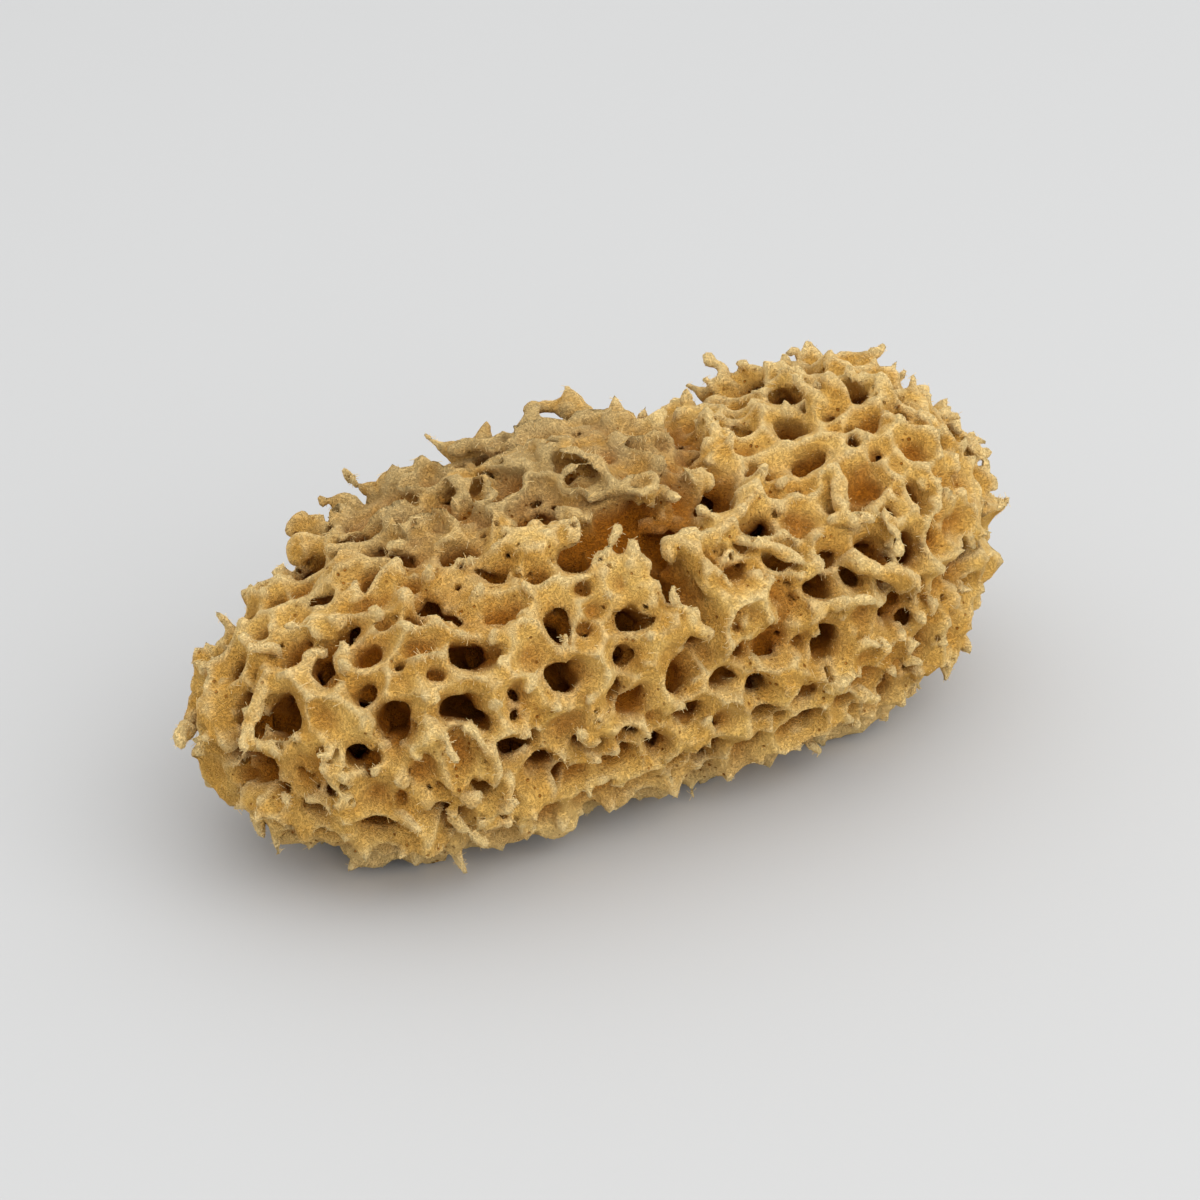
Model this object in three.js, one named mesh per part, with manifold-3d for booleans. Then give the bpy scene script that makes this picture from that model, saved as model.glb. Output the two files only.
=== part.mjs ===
// A dried honeycomb bath sponge, grown as one piece: a long rounded loaf, taller in its right-hand
// lobe, with a deep fold across its back, open pores all over and a flat base that it rests on.
// Millimetres, +Z up, +X along the sponge towards the taller lobe, -Y towards its front. The origin
// is in the base, under the middle of the sponge.
import * as THREE from 'three';
import { mergeVertices } from 'three/addons/utils/BufferGeometryUtils.js';
import Module from 'manifold-3d';

// ---- Driving dimensions ----
const LENGTH = 150;
const HALF_LENGTH = LENGTH / 2;
const RINGS = 72; // slices along the sponge
const RING_POINTS = 60; // points around each slice

// The outline at seven evenly spaced places along the sponge.
const TOP = [46, 51, 53, 56, 53, 61, 56]; // height of the back above the base
const BOTTOM = [-2, -4, -2, -2, -4, -4, 1]; // below 0 where the base is worn flat
const FRONT = [-29, -35, -34, -35, -37, -35, -25]; // how far the front flank bulges towards -Y
const BACK = [29, 32, 36, 35, 36, 35, 36]; // how far the back flank bulges towards +Y
const MID_HEIGHT = [23, 24, 26, 26, 27, 28, 28]; // height at which the sponge is widest
const END_ROUNDING = 2.6; // exponent of the blunt ends: 2 is an ellipse, more is squarer
const SECTION_ROUNDING = 2.3; // the same for the slices

// ---- Pores ----
// Mouths of the large pores on the front, the top and the left end, each given by its place along
// the sponge in mm, its turn round the sponge in degrees (0 on top, 90 at the front) and its radius.
const LARGE_PORES = [
  // left end
  [-71.5, 22, 3.6], [-68, 43, 3.7], [-73.5, 85, 4.2], [-67.5, 86, 3.6], [-61, 72, 2.6], [-61.5, 12, 3.5],
  [-67, -42, 2.6], [-59.5, 90, 3.4], [-57, 48, 2.8], [-55, 64, 3.6], [-50, 12, 2.4], [-54, -18, 2.6],
  // front flank
  [-41, 51, 2.9], [-45.5, 66, 3], [-42, 75, 2.2], [-47, 42, 2.6], [-40, 28, 2.8], [-33.5, 43, 2.4],
  [-32, 60, 2.6], [-36, 71, 2.8], [-28, 69, 3.3], [-26, 53, 2.9], [-26, 39, 2.6], [-17.5, 69, 2.5],
  [-19.5, 80, 2.3], [-15, 60, 3.2], [-7, 93, 2.8], [-24, 92, 2.4], [-5, 66, 3], [5.5, 89, 2.6],
  [-33, 98, 3], [-16, 88, 2.8],
  // top, with the fold across it
  [-42, -9, 2.8], [-46.5, 2, 2.4], [-42, -24, 3.3], [-28, -3, 2.4], [-48, 16, 2.6], [-19, 16, 3.6],
  [-11, 33, 4.4], [-4, 36, 4], [-6, 49, 3.6], [5, 27, 2.8],
  // taller lobe
  [24, -4, 3.4], [31, 8, 3.2], [29.5, 28, 3.8], [13.5, 44, 3.6], [20, 48, 3], [4.5, 57, 2.8],
  [12.5, 68, 3], [20, 68, 3], [9, 77, 3.4], [19.5, 83, 3.6], [28.5, 51, 3.2], [34, 43, 3.6],
  [30, 62, 2.8], [37.5, 68, 3.9], [32.5, 82, 4], [42, 54, 2.4], [39.5, 99, 2.8], [46, 82, 2.8],
  [51, 66, 2.8], [46, 40, 2.4], [54, 36, 2.6], [41, 24, 2.8],
];
const PORE_FLARE = 1.4; // reach of the dent round a pore, over the pore's radius
const PORE_DEPTH = 1.3; // depth over radius

// The rest of the skin is filled with pores on a spiral of even spacing.
const FILL_COUNT = 330; // places tried
const FILL_RADIUS = [2.6, 3.8];
const GOLDEN_ANGLE = Math.PI * (3 - Math.sqrt(5));
const WALL = 2; // least flesh between a filling pore and its neighbours
const BASE_MARGIN = 6; // pores fade out over this height, so that the base stays whole

const SPONGE_COLOUR = 0xb08a54;

/** Smooth curve through evenly spaced values, read at t from 0 to 1. */
function profile(values) {
  const curve = new THREE.SplineCurve(values.map((value, index) => new THREE.Vector2(index, value)));
  return (t) => curve.getPoint(t).y;
}
const top = profile(TOP);
const bottom = profile(BOTTOM);
const front = profile(FRONT);
const back = profile(BACK);
const midHeight = profile(MID_HEIGHT);

/** Point of the smooth skin at x mm along the sponge and at an angle round it, 0 on top. */
function skinPoint(x, angle) {
  const t = (x + HALF_LENGTH) / LENGTH;
  const taper = (1 - Math.abs(x / HALF_LENGTH) ** END_ROUNDING) ** (1 / END_ROUNDING);
  const up = Math.cos(angle);
  const side = Math.sin(angle);
  const middle = (front(t) + back(t)) / 2;
  const halfWidth = taper * (back(t) - front(t)) / 2;
  const halfHeight = taper * (up > 0 ? top(t) - midHeight(t) : midHeight(t) - bottom(t));
  const reach = (Math.abs(up / halfHeight) ** SECTION_ROUNDING
    + Math.abs(side / halfWidth) ** SECTION_ROUNDING) ** (-1 / SECTION_ROUNDING);
  return new THREE.Vector3(x, middle - reach * side, midHeight(t) + reach * up);
}

/** Small seeded random generator, so that the sponge comes out the same every time. */
function randomFrom(seed) {
  let state = seed;
  return () => {
    state = (state * 1664525 + 1013904223) % 4294967296;
    return state / 4294967296;
  };
}

/** All pores, as mouth centres on the smooth skin with their radii. */
function placePores() {
  const pores = LARGE_PORES.map(([x, degrees, radius]) => ({
    centre: skinPoint(x, THREE.MathUtils.degToRad(degrees)),
    radius,
  }));
  const random = randomFrom(7);
  for (let index = 0; index < FILL_COUNT; index += 1) {
    const x = HALF_LENGTH * (2 * (index + 0.5) / FILL_COUNT - 1);
    const centre = skinPoint(x, index * GOLDEN_ANGLE);
    const radius = THREE.MathUtils.lerp(...FILL_RADIUS, random());
    const hasRoom = pores.every((pore) => (
      pore.centre.distanceTo(centre) > pore.radius + radius + WALL
    ));
    if (hasRoom) {
      pores.push({ centre, radius });
    }
  }
  return pores;
}

/** The smooth skin as a closed mesh: rings along the sponge, closed by a point at each end. */
function smoothSkin() {
  const positions = [];
  const indices = [];
  for (let ring = 1; ring < RINGS; ring += 1) {
    const x = -HALF_LENGTH * Math.cos(Math.PI * ring / RINGS);
    for (let point = 0; point < RING_POINTS; point += 1) {
      positions.push(...skinPoint(x, 2 * Math.PI * point / RING_POINTS));
    }
  }
  const leftTip = positions.length / 3;
  positions.push(-HALF_LENGTH, (front(0) + back(0)) / 2, midHeight(0));
  positions.push(HALF_LENGTH, (front(1) + back(1)) / 2, midHeight(1));
  const rightTip = leftTip + 1;
  const lastRing = (RINGS - 2) * RING_POINTS;
  for (let point = 0; point < RING_POINTS; point += 1) {
    const next = (point + 1) % RING_POINTS;
    indices.push(leftTip, next, point);
    indices.push(rightTip, lastRing + point, lastRing + next);
    for (let start = 0; start < lastRing; start += RING_POINTS) {
      const after = start + RING_POINTS;
      indices.push(start + point, start + next, after + point);
      indices.push(start + next, after + next, after + point);
    }
  }
  const geometry = new THREE.BufferGeometry();
  geometry.setAttribute('position', new THREE.Float32BufferAttribute(positions, 3));
  geometry.setIndex(indices);
  return geometry;
}

/** Sinks a round dent into the skin at every pore. */
function dentPores(geometry, pores) {
  geometry.computeVertexNormals();
  const { position, normal } = geometry.attributes;
  const point = new THREE.Vector3();
  const outward = new THREE.Vector3();
  for (let index = 0; index < position.count; index += 1) {
    point.fromBufferAttribute(position, index);
    outward.fromBufferAttribute(normal, index);
    let depth = 0;
    for (const pore of pores) {
      const fromRim = 1 - point.distanceTo(pore.centre) / (PORE_FLARE * pore.radius);
      const dent = PORE_DEPTH * pore.radius * THREE.MathUtils.smoothstep(fromRim, 0, 1);
      depth = Math.max(depth, dent);
    }
    depth *= THREE.MathUtils.smoothstep(point.z, 0, BASE_MARGIN);
    point.addScaledVector(outward, -depth);
    position.setXYZ(index, ...point);
  }
}

/** A manifold-3d solid of a closed three.js geometry. */
function solidOf(wasm, geometry) {
  const bare = geometry.clone();
  bare.deleteAttribute('normal');
  bare.deleteAttribute('uv');
  const merged = mergeVertices(bare);
  return new wasm.Manifold(new wasm.Mesh({
    numProp: 3,
    vertProperties: new Float32Array(merged.attributes.position.array),
    triVerts: new Uint32Array(merged.index.array),
  }));
}

/** The three.js geometry of a manifold-3d solid. */
function geometryOf(solid) {
  const mesh = solid.getMesh();
  const geometry = new THREE.BufferGeometry();
  geometry.setAttribute('position', new THREE.Float32BufferAttribute(mesh.vertProperties, 3));
  geometry.setIndex(Array.from(mesh.triVerts));
  geometry.computeVertexNormals();
  return geometry;
}

/** Cuts the underside off flat at z = 0, where the sponge rests. */
function cutBase(wasm, geometry) {
  const side = 2 * LENGTH;
  const below = new THREE.BoxGeometry(side, side, side).translate(0, 0, -side / 2);
  return geometryOf(solidOf(wasm, geometry).subtract(solidOf(wasm, below)));
}

/** Moves the geometry so that the middle of its base is the origin. */
function centreOnBase(geometry) {
  geometry.computeBoundingBox();
  const { min, max } = geometry.boundingBox;
  geometry.translate(-(min.x + max.x) / 2, -(min.y + max.y) / 2, -min.z);
}

async function makeSponge() {
  const wasm = await Module();
  wasm.setup();
  const skin = smoothSkin();
  dentPores(skin, placePores());
  const body = cutBase(wasm, skin);
  centreOnBase(body);
  const flesh = new THREE.MeshStandardMaterial({
    color: SPONGE_COLOUR,
    roughness: 0.95,
    metalness: 0,
  });
  const sponge = new THREE.Mesh(body, flesh);
  sponge.name = 'sponge';
  return sponge;
}

const group = new THREE.Group();
group.add(await makeSponge());

export default group;
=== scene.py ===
# %% [markdown]
# # A honeycomb bath sponge
# A bath sponge is the dried, felted skeleton of an animal that grew as one piece. Water ran through
# it in hundreds of canals, and their mouths leave it looking like a honeycomb of round holes with
# thin walls between them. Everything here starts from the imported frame: one plain solid, named
# sponge, that has the right size and place, and that the detailed mesh made below stands in for.

# %% Load the frame
import math
import time

import bpy
import numpy as np
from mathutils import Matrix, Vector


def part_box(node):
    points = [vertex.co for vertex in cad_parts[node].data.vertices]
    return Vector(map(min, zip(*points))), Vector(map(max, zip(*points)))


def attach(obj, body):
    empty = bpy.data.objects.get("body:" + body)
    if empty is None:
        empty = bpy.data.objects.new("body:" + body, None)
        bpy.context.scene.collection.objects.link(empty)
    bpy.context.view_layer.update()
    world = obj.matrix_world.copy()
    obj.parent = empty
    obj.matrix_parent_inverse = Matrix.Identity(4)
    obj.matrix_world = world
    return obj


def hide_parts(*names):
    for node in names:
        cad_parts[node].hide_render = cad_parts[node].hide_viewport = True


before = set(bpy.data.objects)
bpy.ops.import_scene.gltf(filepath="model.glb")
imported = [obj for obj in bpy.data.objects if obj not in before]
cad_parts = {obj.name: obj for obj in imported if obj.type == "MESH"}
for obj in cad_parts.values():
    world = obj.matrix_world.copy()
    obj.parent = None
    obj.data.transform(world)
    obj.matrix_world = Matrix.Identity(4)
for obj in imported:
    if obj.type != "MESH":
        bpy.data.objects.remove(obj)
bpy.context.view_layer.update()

import openvdb
from mathutils import Vector

MM = 0.001
started = time.time()


def clock():
    return f"{time.time() - started:.0f} s"


low, high = (np.array(corner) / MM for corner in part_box("sponge"))
LENGTH, WIDTH, HEIGHT = high - low
print(f"frame: {LENGTH:.1f} x {WIDTH:.1f} x {HEIGHT:.1f} mm")

# %% [markdown]
# ## The camera first
# The sponge is seen from above its left front corner. A long lens, about 100 mm, keeps the far lobe
# nearly as large as the near end, as in a product picture.

# %% Camera
CAMERA_TURN = math.radians(-32.3)
CAMERA_LIFT = math.radians(30)
LENS = 100.0
SENSOR = 36.0
VIEW_WIDTH = 196.4  # how much of the table the picture takes in, mm
TARGET = Vector((-2.8, 0.0, 28.0))


def make_camera():
    data = bpy.data.cameras.new("camera")
    data.lens = LENS
    data.sensor_width = SENSOR
    data.clip_start = 0.01
    camera = bpy.data.objects.new("camera", data)
    bpy.context.scene.collection.objects.link(camera)
    backwards = Vector((
        math.sin(CAMERA_TURN) * math.cos(CAMERA_LIFT),
        -math.cos(CAMERA_TURN) * math.cos(CAMERA_LIFT),
        math.sin(CAMERA_LIFT),
    ))
    distance = VIEW_WIDTH * LENS / SENSOR
    camera.location = (TARGET + backwards * distance) * MM
    camera.rotation_euler = backwards.to_track_quat("Z", "Y").to_euler()
    bpy.context.scene.camera = camera
    return camera


camera = make_camera()
print(f"camera at {[round(c, 3) for c in camera.location]} m")

# %% [markdown]
# ## The loaf
# Under its holes the sponge is a rounded loaf. Seven heights and widths along it, joined by smooth
# curves, say where its skin is. The same numbers shape the plain solid of the frame, so the two
# agree. A place on the skin is given by how far along the sponge it is and by a turn round it: 0 is
# on top, 90 degrees the front, 180 below and -90 the back.

# %% The outline of the loaf
HALF_LENGTH = LENGTH / 2
TOP = [46, 51, 53, 56, 53, 61, 56]
BOTTOM = [-2, -4, -2, -2, -4, -4, 1]
FRONT = [-29, -35, -34, -35, -37, -35, -25]
BACK = [29, 32, 36, 35, 36, 35, 36]
MID_HEIGHT = [23, 24, 26, 26, 27, 28, 28]
END_ROUNDING = 2.6
SECTION_ROUNDING = 2.3
NEAR_TIP = 0.999  # the skin is read no nearer to a tip than this share of the half length


def profile(values, x):
    """Smooth curve through evenly spaced values along the sponge, read at x mm."""
    values = np.asarray(values, np.float32)
    place = np.clip((x + HALF_LENGTH) / LENGTH, 0, 1) * (len(values) - 1)
    index = np.clip(place.astype(int), 0, len(values) - 2)
    w = place - index
    before = values[np.maximum(index - 1, 0)]
    here = values[index]
    there = values[index + 1]
    after = values[np.minimum(index + 2, len(values) - 1)]
    slope_here = (there - before) / 2
    slope_there = (after - here) / 2
    cubic = (2 * here - 2 * there + slope_here + slope_there) * w**3
    square = (-3 * here + 3 * there - 2 * slope_here - slope_there) * w**2
    return cubic + square + slope_here * w + here


def skin_point(x, degrees):
    """The point of the skin at x mm along the sponge and a turn round it."""
    x = np.asarray(x, np.float32)
    turn = np.radians(degrees)
    share = np.minimum(np.abs(x / HALF_LENGTH), NEAR_TIP)
    taper = (1 - share**END_ROUNDING) ** (1 / END_ROUNDING)
    up, side = np.cos(turn), np.sin(turn)
    front, back, mid = profile(FRONT, x), profile(BACK, x), profile(MID_HEIGHT, x)
    half_width = taper * (back - front) / 2
    half_height = taper * np.where(up > 0, profile(TOP, x) - mid, mid - profile(BOTTOM, x))
    reach = (np.abs(up / half_height) ** SECTION_ROUNDING
             + np.abs(side / half_width) ** SECTION_ROUNDING) ** (-1 / SECTION_ROUNDING)
    return np.stack([x, (front + back) / 2 - reach * side, mid + reach * up], -1)


def skin_normal(x, degrees):
    """Which way is out of the skin there."""
    along = skin_point(x + 0.5, degrees) - skin_point(x - 0.5, degrees)
    around = skin_point(x, degrees + 1.0) - skin_point(x, degrees - 1.0)
    out = np.cross(along, around)
    out /= np.linalg.norm(out, axis=-1, keepdims=True)
    middle = np.stack([x, 0 * x, profile(MID_HEIGHT, x)], -1)
    return out * np.sign(((skin_point(x, degrees) - middle) * out).sum(-1, keepdims=True))


print("skin on top at mid length:", skin_point(0.0, 0.0).round(1))

# %% [markdown]
# ## A block of small cells
# A shape with so many holes and bridges is hard to model face by face, and hundreds of booleans are
# slow and fragile. A field is easier: a block of small cells, each holding how far it is from the
# skin, less than 0 inside. A hole is then cut by taking the larger of two numbers, and one call at
# the end draws the surface through the zeros. Geometry Nodes have volumes too, but here every cell
# takes part in long sums, and those are easier to read and to change in numpy.

# %% The block and its noise
PITCH = 0.45
MARGIN = 6.0
start = low - MARGIN
start[2] = -1.5
cells = np.ceil((high + MARGIN - start) / PITCH).astype(int)
axis = [(start[k] + PITCH * np.arange(cells[k])).astype(np.float32) for k in range(3)]
X, Y, Z = np.meshgrid(*axis, indexing="ij", sparse=True)


def spline_weights(places, knots):
    """Rows that blend the knots into a smooth curve through the places."""
    distance = np.abs(places[:, None] - knots[None, :])
    near = (4 - 6 * distance**2 + 3 * distance**3) / 6
    far = (2 - distance) ** 3 / 6
    return np.where(distance < 1, near, np.where(distance < 2, far, 0)).astype(np.float32)


def noise(size, seed):
    """Smooth random numbers through the block, with lumps of size mm, 0 on average and 1 on spread."""
    rng = np.random.default_rng(seed)
    rows = []
    for k in range(3):
        places = (axis[k] - axis[k][0]) / size
        rows.append(spline_weights(places, np.arange(-1, math.ceil(places[-1]) + 2)))
    field = rng.standard_normal([row.shape[1] for row in rows]).astype(np.float32)
    for row in rows:
        field = np.tensordot(field, row, axes=(0, 1))
    return field / field.std()


def smoothstep(value, edge0, edge1):
    """0 at the first edge, 1 at the second, level at both ends."""
    t = np.clip((value - edge0) / (edge1 - edge0), 0, 1)
    return t * t * (3 - 2 * t)


print(f"{cells.prod() / 1e6:.1f} million cells of {PITCH} mm")


# %% Distance from the skin
def distance_from_skin():
    """How far each cell is outside the smooth loaf."""
    front, back, mid = profile(FRONT, X), profile(BACK, X), profile(MID_HEIGHT, X)
    across = np.abs(Y - (front + back) / 2) / ((back - front) / 2)
    rise = Z - mid
    upright = np.where(rise > 0, rise / (profile(TOP, X) - mid), -rise / (mid - profile(BOTTOM, X)))
    section = (across**SECTION_ROUNDING + upright**SECTION_ROUNDING) ** (1 / SECTION_ROUNDING)
    size = (np.abs(X / HALF_LENGTH) ** END_ROUNDING + section**END_ROUNDING) ** (1 / END_ROUNDING)
    slopes = np.gradient(size, PITCH)
    steepness = np.sqrt(sum(slope**2 for slope in slopes))
    return ((size - 1) / np.maximum(steepness, 0.01)).astype(np.float32)


skin = distance_from_skin()
print(f"skin made at {clock()}")

# %% [markdown]
# ## The canals
# Every hole is the mouth of a canal that runs inwards, a little askew, and narrows. The large ones
# in front, on top and at the left end are listed one by one, since they make this sponge this one.
# The rest is filled by throwing darts, large mouths first: one is kept where it has room.

# %% Mouths listed one by one
# mm along, turn, radius mm, stretch along the sponge (under 1: around it), depth in radii
NAMED_CANALS = [
    # left end
    (-71.5, 22, 3.4, 1, 4), (-68, 43, 3.5, 0.85, 4), (-73.5, 85, 4.2, 1, 3), (-67.5, 86, 3.4, 1.2, 1),
    (-67, 87, 0.9, 1, 6), (-61, 72, 2.4, 1.2, 6), (-61.5, 12, 3.3, 1, 2), (-69, -50, 2, 1, 3),
    (-67, -40, 2.2, 1, 2), (-74.5, 120, 1.8, 1, 3), (-59.5, 90, 3.2, 0.9, 1), (-57, 48, 2.6, 1, 2.5),
    (-55, 64, 3.4, 0.9, 4), (-50, 12, 1.8, 2, 2), (-58, 18, 1.5, 1.3, 3), (-54, -18, 2.4, 1, 1.5),
    (-58, -25, 2.4, 1, 2), (-58, 110, 2.6, 1.2, 4), (-66, 110, 2.4, 1.2, 4),
    # front flank
    (-41, 51, 2.6, 1.3, 6), (-45.5, 66, 2.8, 1.1, 6), (-42, 74, 1.8, 1, 5), (-46.5, 80, 2.6, 0.6, 1.5),
    (-47, 42, 1.9, 2, 1.5), (-41.5, 28, 1.9, 1, 5), (-44.5, 32, 1.5, 1, 4), (-38, 28, 2.4, 1.4, 1.2),
    (-33.5, 43, 1.8, 1.8, 2.5), (-32, 60, 2.5, 1, 1), (-36, 71, 2.6, 1, 1), (-28, 69, 3.2, 0.95, 5),
    (-26, 53, 2.8, 0.9, 4), (-26, 39, 1.9, 1.9, 3), (-17.5, 69, 2.4, 1, 5), (-19.5, 79, 1.9, 1, 5),
    (-15, 60, 2.8, 1.4, 4), (-7, 93, 2.6, 1.2, 3), (-24, 92, 1.8, 1.3, 4), (-5, 66, 2.8, 0.6, 3),
    (5.5, 89, 2.4, 1, 4), (-33, 98, 2.8, 1.2, 4), (-16, 84, 3, 1.2, 2.5), (-43, 96, 2.4, 0.8, 3),
    (-52, 84, 2.4, 1, 2), (-51, 100, 2, 1.2, 3), (-20, 102, 2.6, 1.4, 3), (14, 98, 2.2, 1, 3),
    # top
    (-42, -9, 2.3, 1.3, 3), (-46.5, 2, 1.7, 2, 3), (-42, -24, 3.3, 1, 0.8), (-40, 8, 1.5, 1, 2),
    (-28, -3, 1.3, 2, 3), (-48, 16, 2.1, 1.6, 1.5), (-19, 16, 3.2, 1.4, 2.5), (3, 17, 1.3, 1, 4),
    # taller lobe
    (24, -4, 3.2, 0.8, 5), (31, 8, 3, 1, 3), (29.5, 28, 3.3, 1.5, 2), (24.5, 37, 1.2, 1, 5),
    (13.5, 44, 3.1, 1.4, 4), (20, 48, 2.8, 1, 1.2), (4.5, 57, 2.2, 1.5, 3), (1.5, 50, 1.3, 0.6, 5),
    (12.5, 68, 2.8, 1.2, 1.2), (20, 68, 2.5, 1.4, 5), (9, 77, 3, 1.5, 1.2), (19.5, 83, 3.4, 0.9, 5),
    (28.5, 51, 2.9, 1, 3), (33.5, 44, 3.8, 1, 0.8), (30, 62, 2.6, 1, 3), (37.5, 68, 3.7, 0.9, 4),
    (32.5, 82, 3.5, 1.4, 3), (42, 54, 1.9, 0.6, 4), (39.5, 99, 2.6, 1, 3), (42, 91, 1.2, 1, 4),
    (46, 82, 2.6, 1, 2), (51, 66, 2.4, 1.4, 1.2), (46, 40, 2, 1, 2), (54, 36, 2.2, 0.8, 4),
    (41, 24, 2.6, 1, 2), (38, 37, 1.8, 1.3, 2), (26, 100, 2.6, 1.2, 1.5),
]

# The deep fold before the taller lobe, as a row of places: mm along, turn, radius mm, depth mm
FOLD = [
    (19, -62, 3, 1), (19, -45, 4, 0.5), (18, -20, 3.6, 1.5), (13, 4, 2.8, 2), (6, 18, 2.2, 1.5),
    (5, 28, 2.6, 3), (0, 37, 3, 3.5), (-6, 35, 4.2, 4), (-11, 33, 4.6, 4), (-16, 29, 3.4, 3),
]
FOLD_BRANCH = [
    (-9, 38, 3, 4), (-6, 49, 3, 4), (-5, 58, 2, 2.5), (-6, 68, 2, 2), (-4, 78, 1.6, 1),
]


def unit(vectors):
    """The vectors, each made one long."""
    return vectors / np.linalg.norm(vectors, axis=-1, keepdims=True)


def read_field(field, points):
    """The field's value at points in mm, blended between the eight cells round each."""
    place = (points - start) / PITCH
    base = np.clip(np.floor(place).astype(int), 0, np.array(field.shape) - 2)
    w = np.clip(place - base, 0, 1)
    total = np.zeros(len(points), np.float32)
    for corner in np.ndindex(2, 2, 2):
        share = np.prod(np.where(corner, w, 1 - w), axis=1)
        total += share * field[tuple((base + corner).T)]
    return total


def outward(points):
    """Which way is out of the loaf at points in mm."""
    slopes = [read_field(skin, points + PITCH * step) - read_field(skin, points - PITCH * step)
              for step in np.eye(3)]
    return unit(np.stack(slopes, -1))


print(f"{len(NAMED_CANALS)} mouths and a fold by hand")

# %% [markdown]
# ## The crust
# Over the left of the top the canals are closed by a smoother, greyer crust. It is a patch that
# fades out at its edge, and a slow noise keeps that edge from being an oval.

# %% The crust
CRUST_CENTRE = (-19, -16)  # mm along, turn
CRUST_REACH = (36, 48)  # mm, degrees
CRUST_RAGGED = 0.2


def crust_share(x, turn, wobble):
    """1 well inside the crust, 0 outside it."""
    off_along = (x - CRUST_CENTRE[0]) / CRUST_REACH[0]
    off_round = (turn - CRUST_CENTRE[1]) / CRUST_REACH[1]
    inside = 1 - off_along**2 - off_round**2
    return smoothstep(inside + CRUST_RAGGED * wobble, 0, 0.6)


mid_y = (profile(FRONT, X) + profile(BACK, X)) / 2
turns = np.degrees(np.arctan2(mid_y - Y, Z - profile(MID_HEIGHT, X))).astype(np.float32)
crust = crust_share(X, turns, noise(9, 3)).astype(np.float32)
print(f"crust on {(crust[np.abs(skin) < PITCH] > 0.5).mean():.0%} of the skin")

# %% Throw the darts
FILL_RADII = np.linspace(3.7, 1.0, 5200)  # one try for each, large to small, mm
WALL = 0.95  # the least wall between two large mouths, mm
THIN_WALL = 0.4  # how much of it is left between the smallest


def fill_canals(named_centres, named_radii):
    """Mouths in the free skin, as centres and radii."""
    rng = np.random.default_rng(11)
    shell = np.argwhere(np.abs(skin) < PITCH)
    picks = shell[rng.integers(0, len(shell), len(FILL_RADII))]
    places = picks * PITCH + start + rng.uniform(-PITCH, PITCH, (len(picks), 3)) / 2
    in_crust = read_field(crust, places) > rng.uniform(0.15, 0.9, len(places))
    centres, radii = list(named_centres), list(named_radii)
    for place, radius, closed in zip(places, FILL_RADII, in_crust):
        if closed or place[2] < 0.5:
            continue
        gaps = np.linalg.norm(np.array(centres) - place, axis=1) - np.array(radii) - radius
        if gaps.min() > WALL * (THIN_WALL + (1 - THIN_WALL) * radius / 3):
            centres.append(place)
            radii.append(radius)
    count = len(named_radii)
    return np.array(centres[count:]), np.array(radii[count:])


named = np.array(NAMED_CANALS, float)
named_mouths = skin_point(named[:, 0], named[:, 1])
fill_mouths, fill_radii = fill_canals(named_mouths, named[:, 2])
print(f"{len(named)} canals by hand, {len(fill_radii)} to fill, {clock()}")

# %% Cut the canals
FAR = 6.0  # how far from a canal its distance still matters, mm
BLEND = 0.6  # how round the walls between canals are, mm


def smooth_min(a, b, width):
    """The smaller of two distances, with the corner between them rounded."""
    h = np.clip(0.5 + 0.5 * (b - a) / width, 0, 1)
    return b + (a - b) * h - width * h * (1 - h)


def window(points, reach):
    """The part of the block within reach mm of a few points, with its cells' places."""
    lo = np.floor((points.min(0) - reach - start) / PITCH).astype(int)
    hi = np.ceil((points.max(0) + reach - start) / PITCH).astype(int) + 1
    part = tuple(slice(max(a, 0), max(b, 0)) for a, b in zip(lo, hi))
    places = [axis[k][part[k]].reshape([-1 if j == k else 1 for j in range(3)]) for k in range(3)]
    return part, places


# How far every cell is pushed aside, in each direction, before a canal is cut: none is quite round
WARP = [0.55 * noise(7, 20 + k) + 0.25 * noise(2.6, 30 + k) for k in range(3)]

MOUTH_REACH = 4.5  # how far a mouth's funnel runs on outside the skin, mm
LIP = 2.6  # how deep under the skin the funnel starts, mm
FLARE = 0.33  # how much a large funnel widens for each mm


def cut_canal(distance, mouth, inward, radius, end_radius, depth, stretch=1.0, funnel=MOUTH_REACH):
    """Takes one canal, a tapered tube with round ends, into the distances from the nearest canal."""
    ends = np.array([mouth - inward * funnel, mouth + inward * depth])
    part, places = window(ends, radius * max(stretch, 1 / stretch) * 1.3 + FAR)
    if 0 in distance[part].shape:
        return
    rel = [places[k] + WARP[k][part] - mouth[k] for k in range(3)]
    along = sum(rel[k] * inward[k] for k in range(3))
    t = np.clip(along, -funnel, depth)
    side = unit(np.array([1.0, 0.0, 0.0]) - inward * inward[0])
    round_it = np.cross(inward, side)
    u = sum(rel[k] * side[k] for k in range(3)) / stretch**0.5
    v = sum(rel[k] * round_it[k] for k in range(3)) * stretch**0.5
    share = np.maximum(t, 0) / max(depth, 0.01)
    flare = FLARE * min(radius / 3, 1) if funnel else 0.0
    wide = radius + (end_radius - radius) * share + flare * np.maximum(LIP - t, 0)
    gap = np.sqrt(u * u + v * v + (along - t) ** 2) - wide
    distance[part] = smooth_min(distance[part], gap, BLEND)


# The canals that fill: how deep they go, in radii, and what share of them goes how deep
FILL_DEPTHS = [0.1, 0.5, 2.0, 3.5]
FILL_DEPTH_SHARES = [0.06, 0.16, 0.33, 0.45]


def askew(inward, rng, amount):
    """The direction, turned a little at random."""
    return unit(inward + rng.normal(0, amount, 3))


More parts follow.
